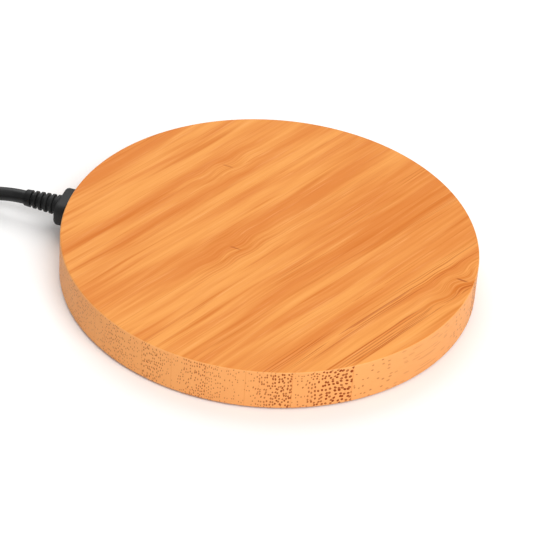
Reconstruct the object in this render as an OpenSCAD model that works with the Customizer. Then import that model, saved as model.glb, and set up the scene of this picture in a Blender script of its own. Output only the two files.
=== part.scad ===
// Round bamboo wireless charging pad with its plug-in supply lead.
// Millimetres, +Z up, origin at the centre of the underside of the feet.
// The socket faces +Y. The grain of the bamboo runs 25 degrees clockwise from +X.

/* [Pad] */
// Diameter of the bamboo disc
pad_d = 100; // [96:1:120]
// Overall height, feet included
pad_h = 11; // [11:0.5:14]
// Height by which the feet stand proud of the underside
foot_proud = 0.5; // [0.3:0.1:1]
// Thickness of bamboo left over the winding
top_skin = 2.5; // [2:0.1:3]
// Radius of the eased rim edges
rim_ease = 0.4; // [0.2:0.1:0.8]
// Diameter of the pocket milled from below
pocket_d = 80; // [79:0.5:82]
// Diameter of the base plate
plate_d = 89.6; // [88:0.1:90]
// Thickness of the base plate
plate_t = 1.2; // [1.1:0.1:1.4]

/* [Feet and screws] */
// Diameter of one rubber foot
foot_d = 10; // [8:0.5:12]
// Distance of the feet from the centre
foot_r = 32; // [30:0.5:34]
// Distance of the base screws from the centre
base_screw_r = 42.4; // [42:0.1:42.8]
// Diameter of the base screws' thread
base_screw_d = 2; // [1.6:0.1:2.2]
// Length of the base screws
base_screw_l = 5; // [4:0.5:6]

/* [Winding] */
// Number of turns in the flat winding
turns = 10; // [8:1:10]
// Diameter of the stranded wire
wire_d = 1.05; // [0.9:0.05:1.1]
// Distance from one turn to the next
turn_pitch = 1.12; // [1.1:0.01:1.15]
// Radius of the innermost turn
first_turn_r = 10.8; // [10:0.1:11]
// Diameter of the ferrite shield
ferrite_d = 50; // [48:0.5:52]
// Thickness of the ferrite shield
ferrite_t = 0.9; // [0.8:0.05:1]

/* [Circuit board] */
// Width of the circuit board
board_w = 24; // [24:0.5:25]
// Thickness of the circuit board
board_t = 1; // [0.8:0.1:1]
// Height of the board above the base plate
board_gap = 1.4; // [1.2:0.1:1.5]

/* [Plug and socket] */
// Width of the socket's metal shell
socket_w = 9; // [8.9:0.05:9.1]
// Height of the socket's metal shell
socket_t = 3.2; // [3.15:0.05:3.25]
// Width of the moulded plug body
plug_w = 10.6; // [10:0.1:11]
// Thickness of the moulded plug body
plug_t = 6; // [5.8:0.1:6.2]
// Distance by which the plug body stands out of the rim
plug_proud = 3.4; // [2:0.1:6]
// Length of the strain relief
relief_l = 9; // [8:0.5:12]

/* [Cable] */
// Diameter of the cable
cable_d = 3.5; // [3.4:0.1:3.6]
// Radius of the middle of the stored coil
coil_mid_r = 20; // [19:0.5:20]
// Thickness of the straps round the coil
tie_t = 0.6; // [0.4:0.1:0.8]

/* [Hidden] */
$fn = 96;
seam = 0.05; // overlap that makes one solid of touching shapes
cut = 1; // length by which a cutter runs past a face

// heights, from the underside of the feet upwards
z_base = foot_proud;
z_plate = z_base + plate_t;
z_board = z_plate + board_gap;
z_parts = z_board + board_t;
z_socket = z_parts + socket_t / 2;
z_roof = pad_h - top_skin;
tape_t = 0.1;
z_wind = z_roof - tape_t - wire_d / 2;
z_ferrite = z_roof - tape_t - wire_d - ferrite_t;

// rabbet, feet and screws
rabbet_d = plate_d + 0.4;
foot_sink = 0.7;
foot_angles = [0, 90, 180, 270];
base_screw_angles = [45, 135, 225, 315];
screw_head_d = 3.8;
screw_head_t = 1.1;
pilot_d = base_screw_d - 0.4;
standoff_d = 4.4;
board_screw_d = 1.6;
board_screw_l = 2.4;
board_screw_head_d = 3;
board_screw_head_t = 0.8;

// winding
last_turn_r = first_turn_r + (turns - 1) * turn_pitch;
lead_d = 0.9;
lead_x = 2.5;
lead_y = -27.5;
ferrite_hole_d = 5;
lead_slot_w = 1.4;

// circuit board: it reaches into the bay behind the socket
board_front = 40.8;
board_back = -31;
board_screw_xy = [[-9.8, -28.5], [9.8, -28.5], [-9.8, 30], [9.8, 30]];
bay_w = 27;
bay_y = 41;

// plug and socket, along Y
mouth_y = 42.6;
socket_l = 7.4;
socket_wall = 0.3;
socket_back = mouth_y - socket_l;
tongue_w = 6.7;
tongue_t = 0.6;
plug_gap = 0.3; // from the floor of the recess to the plug body
plug_y = mouth_y + plug_gap;
plug_end = pad_d / 2 + plug_proud;
plug_shell_w = socket_w - 2 * socket_wall - 0.1;
plug_shell_t = socket_t - 2 * socket_wall - 0.1;
plug_shell_l = 6.3;
plug_root = 0.6; // length of the plug's shell that is buried in its body
recess_w = plug_w + 1.4;
recess_h = plug_t + 1;
contacts_n = 8;
contact_pitch = 0.75;
contact_w = 0.36;

// indicator, beside the socket
led_x = 10;
guide_d = 2.2;
z_guide = z_parts + 0.9;

// cable: a run from the plug to the coil, and a tail from the coil to the supply plug
cable_r = cable_d / 2;
relief_end = plug_end + relief_l;
coil_layers = 2;
coil_rows = 4;
coil_out_r = coil_mid_r + coil_rows * cable_r;
coil_in_r = coil_mid_r - coil_rows * cable_r;
coil_x = -25;
coil_y = 94;
run_route = [
    [0, relief_end, z_socket], [0, 66, 5.5], [0, 71, 4.6], [0, 77, 3.2], [0, 84, 2.2], [0, 92, 2.3]
];
tail_route = [
    [-28, 119, 5.8], [-38, 118.8, 3.4], [-46, 117.6, 2], [-53, 114, 1.8], [-58, 108, 2],
    [-60.5, 101, 3], [-61, 95, 3.9]
];
cable_sides = 8;
tie_w = 8;
tie_angles = [60, 240];
tie_slack = 0.8; // room for the round inside of the coil
tie_ease = 0.3; // room outside the coil

// supply plug at the far end, lying beside the coil and pointing at -Y
far_x = -61;
far_y = 95;
far_relief_l = 8;
far_body = [15.6, 20, 7.8];
far_shell = [12, 12, 4.5];
far_wall = 0.35;
far_corner = 0.65;
z_far = far_body[2] / 2;

// ---- shared shapes ----

// Flat rounded rectangle about the origin
module rounded(w, h, r) {
    square([w - 2 * r, h], center = true);
    square([w, h - 2 * r], center = true);
    for (x = [-1, 1], y = [-1, 1])
        translate([x * (w / 2 - r), y * (h / 2 - r)]) circle(r, $fn = 48);
}

// Outline of a connector: a slot with fully round sides
module oval(w, h) {
    square([w - h, h], center = true);
    for (x = [-1, 1])
        translate([x * (w - h) / 2, 0]) circle(h / 2, $fn = 48);
}

// Carries a flat outline in XZ along Y, from y0 to y1 at height z
module along_y(y0, y1, z) {
    translate([0, y1, z]) rotate([90, 0, 0]) linear_extrude(y1 - y0) children();
}

// Disc with both edges eased by radius e
module eased_disc(d, h, e) {
    rotate_extrude() {
        square([d / 2 - e, h]);
        translate([0, e]) square([d / 2, h - 2 * e]);
        for (y = [e, h - e]) translate([d / 2 - e, y]) circle(e, $fn = 32);
    }
}

// Block standing on z0, centred on x and y
module chip(size, x, y, z0 = z_parts) {
    translate([x - size[0] / 2, y - size[1] / 2, z0]) cube(size);
}

// Copies of the children round the Z axis at radius r
module around(r, angles) {
    for (a = angles) rotate([0, 0, a]) translate([r, 0, 0]) children();
}

// Outline points of one cable section, square to the route there
function unit(v) = v / norm(v);
function heading(p, i) = unit(p[min(i + 1, len(p) - 1)] - p[max(i - 1, 0)]);
function section(p, i, r, n) =
    let (t = heading(p, i), s = unit(cross(t, [0, 0, 1])), u = cross(s, t))
    [for (k = [0 : n - 1]) p[i] + r * (cos(360 * (k + 0.5) / n) * s + sin(360 * (k + 0.5) / n) * u)];

// Round tube along a route
module tube(p, r, n) {
    m = len(p);
    skin = [
        for (i = [0 : m - 2], k = [0 : n - 1])
            [i * n + k, (i + 1) * n + k, (i + 1) * n + (k + 1) % n, i * n + (k + 1) % n]
    ];
    start = [for (k = [0 : n - 1]) k];
    end = [for (k = [n - 1 : -1 : 0]) (m - 1) * n + k];
    polyhedron([for (i = [0 : m - 1]) each section(p, i, r, n)], concat(skin, [start, end]), convexity = 6);
}

// ---- case ----

// Bamboo disc, milled from below, with a recess for the plug in its rim
module bamboo_shell() {
    color("burlywood") difference() {
        translate([0, 0, z_base]) eased_disc(pad_d, pad_h - z_base, rim_ease);
        translate([0, 0, z_base - cut]) cylinder(d = rabbet_d, h = plate_t + cut, $fn = 192);
        translate([0, 0, z_base]) cylinder(d = pocket_d, h = z_roof - z_base, $fn = 192);
        translate([-bay_w / 2, 30, z_base]) cube([bay_w, bay_y - 30, z_roof - z_base]);
        along_y(mouth_y, pad_d / 2 + cut, z_socket) rounded(recess_w, recess_h, 2);
        along_y(bay_y - cut, mouth_y + seam, z_socket) oval(socket_w + 0.4, socket_t + 0.4);
        translate([led_x, 0, 0]) along_y(bay_y - cut, pad_d / 2 + cut, z_guide) circle(d = guide_d + 0.1, $fn = 48);
        around(base_screw_r, base_screw_angles)
            translate([0, 0, z_plate - cut]) cylinder(d = pilot_d, h = base_screw_l + cut, $fn = 32);
    }
}

// Flush base plate with standoffs for the board and sinks for feet and screws
module base_plate() {
    color([0.12, 0.12, 0.12]) difference() {
        union() {
            translate([0, 0, z_base]) cylinder(d = plate_d, h = plate_t, $fn = 192);
            translate([0, 0, z_plate - seam]) difference() {
                cylinder(d = pocket_d - 1, h = 0.8, $fn = 192);
                translate([0, 0, -cut]) cylinder(d = pocket_d - 3.6, h = 3, $fn = 192);
            }
            for (p = board_screw_xy)
                translate([p[0], p[1], z_plate - seam]) cylinder(d = standoff_d, h = board_gap + seam, $fn = 48);
        }
        for (p = board_screw_xy)
            translate([p[0], p[1], z_board - board_screw_l + board_t]) cylinder(d = board_screw_d - 0.2, h = 4, $fn = 32);
        around(foot_r, foot_angles) translate([0, 0, z_base - cut]) cylinder(d = foot_d + 0.2, h = foot_sink + cut, $fn = 64);
        around(base_screw_r, base_screw_angles) {
            translate([0, 0, z_base - cut]) cylinder(d = base_screw_d + 0.2, h = plate_t + 2 * cut, $fn = 32);
            translate([0, 0, z_base - seam])
                cylinder(d1 = screw_head_d + 0.2, d2 = base_screw_d + 0.2, h = screw_head_t + seam, $fn = 48);
        }
    }
}

// Four feet, glued in their sinks
module rubber_feet() {
    color([0.2, 0.2, 0.2]) around(foot_r, foot_angles) eased_disc(foot_d, foot_sink + foot_proud, 0.3);
}

// Countersunk self-tapping screw with a cross slot, head down, standing on z = 0
module csk_screw(d, l, head_d, head_t) {
    difference() {
        union() {
            cylinder(d1 = head_d, d2 = d, h = head_t, $fn = 48);
            cylinder(d = d, h = l - 1.2, $fn = 32);
            translate([0, 0, l - 1.2]) cylinder(d1 = d, d2 = 0.4, h = 1.2, $fn = 32);
        }
        for (a = [0, 90]) rotate([0, 0, a])
            translate([-head_d * 0.3, -0.25, -cut]) cube([head_d * 0.6, 0.5, cut + head_t * 0.6]);
    }
}

module base_screws() {
    color([0.75, 0.75, 0.78]) around(base_screw_r, base_screw_angles)
        translate([0, 0, z_base + 0.05]) csk_screw(pilot_d, base_screw_l, screw_head_d, screw_head_t);
}

// ---- electronics ----

// Board with clearance holes for its screws
module circuit_board() {
    color([0.05, 0.3, 0.16]) difference() {
        translate([0, (board_front + board_back) / 2, z_board])
            linear_extrude(board_t) rounded(board_w, board_front - board_back, 1);
        for (p = board_screw_xy)
            translate([p[0], p[1], z_board - cut]) cylinder(d = board_screw_d + 0.2, h = board_t + 2 * cut, $fn = 32);
    }
}

// Pan-head screws through the board into the standoffs
module board_screws() {
    color([0.8, 0.8, 0.82])
        for (p = board_screw_xy) translate([p[0], p[1], z_parts]) difference() {
            union() {
                cylinder(d = board_screw_head_d, h = board_screw_head_t, $fn = 48);
                translate([0, 0, -board_screw_l]) cylinder(d = board_screw_d - 0.2, h = board_screw_l + seam, $fn = 32);
            }
            for (a = [0, 90]) rotate([0, 0, a])
                translate([-0.9, -0.2, board_screw_head_t - 0.45]) cube([1.8, 0.4, cut]);
        }
}

// Flat winding, its turns bonded to a thin web
module charging_coil() {
    color([0.72, 0.4, 0.2]) translate([0, 0, z_wind]) rotate_extrude() {
        for (i = [0 : turns - 1])
            translate([first_turn_r + i * turn_pitch, 0]) circle(d = wire_d, $fn = 32);
        translate([first_turn_r, -0.1]) square([last_turn_r - first_turn_r, 0.2]);
    }
}

// Wire that runs along -Y from y0 at height z, then turns down to the board
module lead(x, y0, z) {
    translate([x, 0, 0]) {
        along_y(lead_y, y0, z) circle(d = lead_d, $fn = 32);
        translate([0, lead_y, z]) sphere(d = lead_d, $fn = 32);
        translate([0, lead_y, z_parts + 0.6]) cylinder(d = lead_d, h = z - z_parts - 0.6, $fn = 32);
    }
}

// The inner end crosses below the winding, and the outer end leaves at its own level
module coil_leads() {
    color([0.75, 0.42, 0.22]) {
        lead(-lead_x, -first_turn_r, z_ferrite + ferrite_t - lead_d / 2);
        lead(lead_x, -last_turn_r - wire_d / 2, z_wind);
    }
}

// Shield behind the winding, slotted for the inner lead
module ferrite_shield() {
    color([0.22, 0.22, 0.24]) difference() {
        translate([0, 0, z_ferrite]) cylinder(d = ferrite_d, h = ferrite_t, $fn = 128);
        translate([0, 0, z_ferrite - cut]) cylinder(d = ferrite_hole_d, h = 3, $fn = 48);
        translate([-lead_x - lead_slot_w / 2, -ferrite_d, z_ferrite - cut])
            cube([lead_slot_w, ferrite_d - first_turn_r + 1, 3]);
    }
}

// Double-sided tape that holds the winding to the roof of the pocket
module coil_tape() {
    color([0.9, 0.88, 0.8]) translate([0, 0, z_roof - tape_t]) difference() {
        cylinder(r = last_turn_r + wire_d / 2, h = tape_t, $fn = 128);
        translate([0, 0, -cut]) cylinder(r = first_turn_r - wire_d / 2, h = 3, $fn = 96);
    }
}

// Foam blocks that press the shield and the winding up against the roof
module foam_pads() {
    color([0.3, 0.3, 0.32])
        for (x = [-1, 1], y = [-14, 5]) chip([6, 9, z_ferrite - z_parts], x * 8, y);
}

// Sensor bead in the eye of the winding, its legs passing down to the board
module temperature_sensor() {
    color([0.35, 0.2, 0.1]) {
        translate([0, 0, z_ferrite + 1]) sphere(d = 1.6, $fn = 48);
        for (x = [-0.4, 0.4])
            translate([x, 0, z_parts]) cylinder(d = 0.3, h = z_ferrite + 1 - z_parts, $fn = 24);
    }
}

// Drawn metal tube of the socket
module socket_shell() {
    color([0.78, 0.78, 0.8]) difference() {
        along_y(socket_back, mouth_y, z_socket) oval(socket_w, socket_t);
        along_y(socket_back - cut, mouth_y + cut, z_socket)
            oval(socket_w - 2 * socket_wall, socket_t - 2 * socket_wall);
    }
}

// Moulded tongue with the block that closes the back of the socket
module socket_tongue() {
    color([0.1, 0.1, 0.1]) {
        along_y(socket_back, socket_back + 1.1, z_socket)
            oval(socket_w - 2 * socket_wall, socket_t - 2 * socket_wall);
        along_y(socket_back + 1, mouth_y - 0.8, z_socket) square([tongue_w, tongue_t], center = true);
    }
}

// Two rows of flat contacts at distance z from the middle of the connector
module contact_rows(y0, y1, z, t) {
    for (i = [0 : contacts_n - 1], side = [-1, 1])
        translate([(i - (contacts_n - 1) / 2) * contact_pitch - contact_w / 2, y0, z_socket + side * (z + t / 2) - t / 2])
            cube([contact_w, y1 - y0, t]);
}

module socket_contacts() {
    color("gold") contact_rows(socket_back + 1.3, mouth_y - 1.2, tongue_t / 2, 0.06);
}

module controller_chip() {
    color([0.12, 0.12, 0.13]) chip([5, 5, 0.9], 5, 27);
}

module power_transistors() {
    color([0.14, 0.14, 0.15]) for (x = [-7.5, -2.5, 2.5, 7.5]) chip([3.3, 3.3, 0.9], x, 20);
}

// Moulded power inductor with two end terminals
module power_inductor() {
    color([0.3, 0.3, 0.32]) {
        chip([5, 5, 2.8], -4.5, 29.5, z_parts + 0.1);
        for (x = [-1, 1]) chip([1, 2, 0.2], -4.5 + x * 2.2, 29.5);
    }
}

module resonance_capacitors() {
    color([0.72, 0.6, 0.42]) for (x = [-7.2, -2.4, 2.4, 7.2]) chip([3.2, 1.8, 1.6], x, 14);
}

module input_capacitors() {
    color([0.7, 0.58, 0.4]) for (x = [-8, 8]) chip([2.5, 3.2, 2], x, 35.5);
}

// Rows of small resistors
module chip_resistors() {
    color([0.15, 0.15, 0.17]) {
        for (i = [0 : 5]) chip([0.8, 1.6, 0.45], -3.75 + i * 1.5, 24 - 13.5);
        for (i = [0 : 3]) chip([1.6, 0.8, 0.45], 9.8, 22.8 + i * 1.3);
        for (i = [0 : 4]) chip([0.8, 1.6, 0.45], -3 + i * 1.5, -20);
    }
}

// Solder cones where the winding's leads end
module solder_joints() {
    color([0.8, 0.8, 0.8]) for (x = [-lead_x, lead_x])
        translate([x, lead_y, z_parts]) cylinder(d1 = 2.4, d2 = 1, h = 0.6, $fn = 32);
}

module indicator_led() {
    color([0.9, 0.95, 0.9]) chip([3, 1.2, 1.2], led_x, 40);
}

// Clear rod that carries the light to the rim
module light_guide() {
    color([0.85, 0.9, 0.95], 0.6) translate([led_x, 0, 0])
        along_y(bay_y, sqrt(pow(pad_d / 2, 2) - pow(led_x + guide_d / 2, 2)) - 0.1, z_guide)
            circle(d = guide_d, $fn = 48);
}

// ---- plug ----

module plug_shell() {
    color([0.8, 0.8, 0.82]) difference() {
        along_y(plug_y - plug_shell_l, plug_y + plug_root, z_socket) oval(plug_shell_w, plug_shell_t);
        along_y(plug_y - plug_shell_l - cut, plug_y + plug_root + cut, z_socket)
            oval(plug_shell_w - 2 * socket_wall, plug_shell_t - 2 * socket_wall);
    }
}

// Liner of the plug, slotted for the socket's tongue
module plug_insulator() {
    color([0.1, 0.1, 0.1]) difference() {
        along_y(plug_y - plug_shell_l + 0.5, plug_y + plug_root, z_socket)
            oval(plug_shell_w - 2 * socket_wall, plug_shell_t - 2 * socket_wall);
        along_y(plug_y - plug_shell_l - cut, mouth_y - 0.4, z_socket) square([tongue_w + 0.2, 1.1], center = true);
    }
}

module plug_contacts() {
    color("gold") contact_rows(plug_y - plug_shell_l + 0.9, mouth_y - 0.4, 0.4, 0.15);
}

// Moulded body, mostly inside the recess
module plug_body() {
    color([0.06, 0.06, 0.06]) difference() {
        along_y(plug_y, plug_end, z_socket) rounded(plug_w, plug_t, 2);
        along_y(plug_y - cut, plug_y + plug_root, z_socket) oval(plug_shell_w, plug_shell_t);
    }
}

module plug_strain_relief() {
    color([0.06, 0.06, 0.06]) translate([0, plug_end, z_socket]) rotate([-90, 0, 0])
        cylinder(d1 = 5.2, d2 = cable_d + 0.6, h = relief_l, $fn = 48);
}

// ---- cable ----

module cable_run() {
    color([0.05, 0.05, 0.05]) tube(run_route, cable_r, cable_sides);
}

// Outer shape of the stored coil, which lies on its two straps
module cable_coil() {
    color([0.05, 0.05, 0.05]) translate([coil_x, coil_y, tie_t])
        rotate_extrude() translate([coil_in_r, 0]) square([coil_out_r - coil_in_r, coil_layers * cable_d]);
}

// Straps wrapped round the coil's section
module cable_ties() {
    width = coil_out_r - coil_in_r + tie_slack + tie_ease;
    height = coil_layers * cable_d;
    color([0.15, 0.15, 0.15]) for (a = tie_angles)
        translate([coil_x, coil_y, 0]) rotate([0, 0, a])
            translate([coil_in_r - tie_slack - tie_t, tie_w / 2, 0])
                rotate([90, 0, 0]) linear_extrude(tie_w) difference() {
                    square([width + 2 * tie_t, height + 2 * tie_t]);
                    translate([tie_t, tie_t]) square([width, height]);
                }
}

module cable_tail() {
    color([0.05, 0.05, 0.05]) tube(tail_route, cable_r, cable_sides);
}

// ---- supply plug ----

module supply_strain_relief() {
    color([0.06, 0.06, 0.06]) translate([far_x, far_y, z_far]) rotate([90, 0, 0])
        cylinder(d1 = cable_d + 0.6, d2 = 5.4, h = far_relief_l, $fn = 48);
}

// Outline of the supply plug's metal shell, drawn in by inset
module shell_outline(inset) {
    rounded(far_shell[0] - 2 * inset, far_shell[2] - 2 * inset, far_corner - inset);
}

// Moulded body with a socket for the root of the metal shell
module supply_plug_body() {
    y1 = far_y - far_relief_l;
    color([0.06, 0.06, 0.06]) translate([far_x, 0, 0]) difference() {
        along_y(y1 - far_body[1], y1, z_far) rounded(far_body[0], far_body[2], 1.6);
        along_y(y1 - far_body[1] - cut, y1 - far_body[1] + plug_root, z_far) shell_outline(0);
    }
}

// Folded metal shell with two latch windows in each broad side
module supply_plug_shell() {
    y1 = far_y - far_relief_l - far_body[1] + plug_root;
    y0 = y1 - plug_root - far_shell[1];
    color([0.8, 0.8, 0.82]) translate([far_x, 0, 0]) difference() {
        along_y(y0, y1, z_far) shell_outline(0);
        along_y(y0 - cut, y1 + cut, z_far) shell_outline(far_wall);
        for (x = [-2.9, 2.9]) translate([x, y0 + 7.4, z_far]) cube([2.2, 2.4, far_shell[2] + 2 * cut], center = true);
    }
}

module supply_plug_tongue() {
    y1 = far_y - far_relief_l - far_body[1] + plug_root;
    y0 = y1 - plug_root - far_shell[1];
    color([0.92, 0.92, 0.92]) translate([far_x, 0, 0]) {
        along_y(y0 + 0.4, y1, z_far) intersection() {
            shell_outline(far_wall);
            translate([0, -far_shell[2] / 2]) square([far_shell[0], far_shell[2]], center = true);
        }
        along_y(y1 - 2, y1, z_far) shell_outline(far_wall);
    }
}

// Four flat contacts on the tongue
module supply_plug_contacts() {
    y1 = far_y - far_relief_l - far_body[1] + plug_root;
    y0 = y1 - plug_root - far_shell[1];
    color("gold") for (i = [0 : 3])
        translate([far_x - 3.5 - 0.55 + i * 2.333, y0 + 1.2, z_far]) cube([1.1, 8, 0.12]);
}

bamboo_shell();
base_plate();
rubber_feet();
base_screws();
circuit_board();
board_screws();
charging_coil();
coil_leads();
ferrite_shield();
coil_tape();
foam_pads();
temperature_sensor();
socket_shell();
socket_tongue();
socket_contacts();
controller_chip();
power_transistors();
power_inductor();
resonance_capacitors();
input_capacitors();
chip_resistors();
solder_joints();
indicator_led();
light_guide();
plug_shell();
plug_insulator();
plug_contacts();
plug_body();
plug_strain_relief();
cable_run();
cable_coil();
cable_ties();
cable_tail();
supply_strain_relief();
supply_plug_body();
supply_plug_shell();
supply_plug_tongue();
supply_plug_contacts();
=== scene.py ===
import math

import bmesh
import bpy
from mathutils import Matrix, Vector
from mathutils.geometry import convex_hull_2d


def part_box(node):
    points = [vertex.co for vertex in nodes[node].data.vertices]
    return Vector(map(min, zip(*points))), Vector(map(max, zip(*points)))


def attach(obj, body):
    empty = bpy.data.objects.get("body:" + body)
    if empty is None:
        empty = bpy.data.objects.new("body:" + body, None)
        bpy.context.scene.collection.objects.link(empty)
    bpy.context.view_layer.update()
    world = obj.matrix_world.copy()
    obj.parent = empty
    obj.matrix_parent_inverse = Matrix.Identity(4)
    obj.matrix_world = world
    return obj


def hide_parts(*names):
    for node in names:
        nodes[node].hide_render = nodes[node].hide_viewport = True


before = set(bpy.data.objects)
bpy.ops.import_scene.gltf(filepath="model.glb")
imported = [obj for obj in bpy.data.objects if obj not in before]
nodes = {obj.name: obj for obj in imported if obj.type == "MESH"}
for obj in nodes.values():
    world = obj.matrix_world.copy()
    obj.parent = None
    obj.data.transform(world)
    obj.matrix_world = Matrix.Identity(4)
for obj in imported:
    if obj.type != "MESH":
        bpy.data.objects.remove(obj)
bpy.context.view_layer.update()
mm = 0.001

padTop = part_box("bamboo_shell")[1].z

cameraPlan = {
    "turn": -75.0,         # degrees round the pad, the socket behind and to the left
    "tilt": 37.54,         # degrees above the face
    "roll": 4.27,          # the far side leans to the right
    "distance": 643.2 * mm,
    "right": -0.9 * mm,    # aim, from the middle of the face
    "down": 6.8 * mm,
    "lens": 182.4,         # for a 36 mm sensor
}


def addCamera(plan):
    turn = math.radians(plan["turn"])
    tilt = math.radians(plan["tilt"])
    roll = math.radians(plan["roll"])
    away = Vector((-math.sin(turn), math.cos(turn), 0))
    level = Vector((math.cos(turn), math.sin(turn), 0))
    look = away * math.cos(tilt) - Vector((0, 0, math.sin(tilt)))
    up = level.cross(look)
    right = level * math.cos(roll) + up * math.sin(roll)
    up = right.cross(look)
    aim = Vector((0, 0, padTop)) + right * plan["right"] - up * plan["down"]
    data = bpy.data.cameras.new("camera")
    data.lens = plan["lens"]
    data.sensor_width = 36
    data.clip_start = 0.01
    data.clip_end = 20
    camera = bpy.data.objects.new("camera", data)
    turnMatrix = Matrix((right, up, -look)).transposed().to_4x4()
    camera.matrix_world = Matrix.Translation(aim - look * plan["distance"]) @ turnMatrix
    bpy.context.scene.collection.objects.link(camera)
    bpy.context.scene.camera = camera


addCamera(cameraPlan)
print("camera placed")


# every new piece is linked, hides the CAD parts it stands in for, and is tied to its body and material

def addPiece(name, mesh, material, body, slot, *replaced):
    piece = bpy.data.objects.new(name, mesh)
    bpy.context.scene.collection.objects.link(piece)
    if material:
        mesh.materials.append(material)
    if replaced:
        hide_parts(*replaced)
    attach(piece, body)
    return piece


def meshFrom(bm, name, sharpAngle=35):
    bmesh.ops.remove_doubles(bm, verts=bm.verts, dist=1e-6)
    bmesh.ops.recalc_face_normals(bm, faces=bm.faces)
    for face in bm.faces:
        face.smooth = True
    for edge in bm.edges:
        if len(edge.link_faces) == 2 and edge.calc_face_angle() > math.radians(sharpAngle):
            edge.smooth = False
    mesh = bpy.data.meshes.new(name)
    bm.to_mesh(mesh)
    bm.free()
    return mesh


# round cords and wires, closed at both ends

def newWire(name, diameter, resolution):
    curve = bpy.data.curves.new(name, "CURVE")
    curve.dimensions = "3D"
    curve.bevel_depth = diameter / 2
    curve.bevel_resolution = resolution
    curve.use_fill_caps = True
    return curve


def addRoute(curve, points):
    spline = curve.splines.new("POLY")
    spline.points.add(len(points) - 1)
    for splinePoint, point in zip(spline.points, points):
        splinePoint.co = (*point, 1)


# small helpers that wire up shader nodes

def newMaterial(name):
    material = bpy.data.materials.new(name)
    material.use_nodes = True
    tree = material.node_tree
    return material, tree, tree.nodes["Principled BSDF"]


def add(tree, kind, **settings):
    node = tree.nodes.new("ShaderNode" + kind)
    for key, value in settings.items():
        setattr(node, key, value)
    return node


def plug(tree, socket, value):
    if isinstance(value, bpy.types.NodeSocket):
        tree.links.new(value, socket)
    else:
        socket.default_value = value


def calc(tree, operation, *values, clamp=False):
    node = add(tree, "Math", operation=operation, use_clamp=clamp)
    for socket, value in zip(node.inputs, values):
        plug(tree, socket, value)
    return node.outputs[0]


def ramp(tree, value, low, high, start=0.0, end=1.0, smooth=True):
    node = add(tree, "MapRange", interpolation_type="SMOOTHSTEP" if smooth else "LINEAR")
    limits = {"Value": value, "From Min": low, "From Max": high, "To Min": start, "To Max": end}
    for key, entry in limits.items():
        plug(tree, node.inputs[key], entry)
    return node.outputs["Result"]


def blendColour(tree, factor, first, second):
    node = add(tree, "Mix", data_type="RGBA")
    plug(tree, node.inputs["Factor"], factor)
    for socket, value in ((node.inputs[6], first), (node.inputs[7], second)):
        plug(tree, socket, value if isinstance(value, bpy.types.NodeSocket) else (*value, 1))
    return node.outputs[2]


def joinVector(tree, x, y, z):
    node = add(tree, "CombineXYZ")
    for socket, value in zip(node.inputs, (x, y, z)):
        plug(tree, socket, value)
    return node.outputs[0]


def noise(tree, vector, scale=1.0, detail=2.0, roughness=0.5):
    node = add(tree, "TexNoise")
    plug(tree, node.inputs["Vector"], vector)
    node.inputs["Scale"].default_value = scale
    node.inputs["Detail"].default_value = detail
    node.inputs["Roughness"].default_value = roughness
    return node.outputs["Fac"]


def millimetres(tree, turn=0.0):
    place = add(tree, "TexCoord")
    mapping = add(tree, "Mapping")
    mapping.inputs["Scale"].default_value = (1000, 1000, 1000)
    mapping.inputs["Rotation"].default_value = (0, 0, math.radians(turn))
    plug(tree, mapping.inputs["Vector"], place.outputs["Object"])
    return mapping.outputs["Vector"]


def addBump(tree, surface, height, distance, strength=1.0):
    bump = add(tree, "Bump")
    bump.inputs["Distance"].default_value = distance
    bump.inputs["Strength"].default_value = strength
    plug(tree, bump.inputs["Height"], height)
    plug(tree, surface.inputs["Normal"], bump.outputs["Normal"])


bambooPlan = {
    "grainTurn": 25.0,              # degrees that turn the grain onto X
    "stripWidth": 7.8,              # mm across the grain
    "stripShift": 45.2,             # mm, puts a joint near the front of the rim
    "turnedShare": 0.4,             # strips glued in with their dense side the other way
    "seed": -8.0,
    "light": (0.82, 0.335, 0.076),
    "deep": (0.68, 0.210, 0.034),
    "rim": (0.88, 0.392, 0.132),
    # paler tone for streaks on the face, and the painted highlight along the eased edge
    "edge": (0.94, 0.46, 0.17),
    "fibre": (0.27, 0.040, 0.001),  # dots on the rim
    "line": (0.38, 0.060, 0.001),   # the same fibres along the face
    "smoke": (0.58, 0.140, 0.006),
    "fibreCell": 0.98,              # mm between fibre bundles, up the rim
    "fibreSqueeze": 2.1,            # how much closer they stand across the grain
    "fibreScatter": 0.7,            # 0 in rows, 1 anyhow
    "fibreSize": (0.24, 0.14),      # in cells, for the sparse side and what the dense side adds
    "knots": ((21.0, -42.0, 0.8), (-9.0, 3.0, 0.5), (14.0, 27.0, 0.4)),  # mm along, mm across, strength
    "knotReach": (11.0, 4.5),       # mm along and across
    "swirlPace": 0.62,              # radians per mm
    "scarWidth": 0.24,              # mm
    "scarEnds": (0.6, 1.7),         # mm from the middle, where it fades out
    "sideways": 2.2,                # mm that the grain wavers by
    "rise": 1.9,                    # mm that a fibre climbs and falls
    "roughness": (0.42, 0.56),
    "specular": 0.12,
    "relief": 0.02 * mm,
    # how fast each pattern changes along the grain, across it and upwards, per mm
    "waver": (0.022, 0.08, 0.1),
    "wander": (0.030, 0.35, 0.2),
    "bands": (0.013, 0.21, 0.05),
    "smokes": (0.026, 0.62, 0.3),
    "streaks": (0.05, 2.2, 2.2),
    "threads": (0.035, 3.4, 3.4),
    "groups": (0.030, 0.26, 0.2),
}


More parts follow.
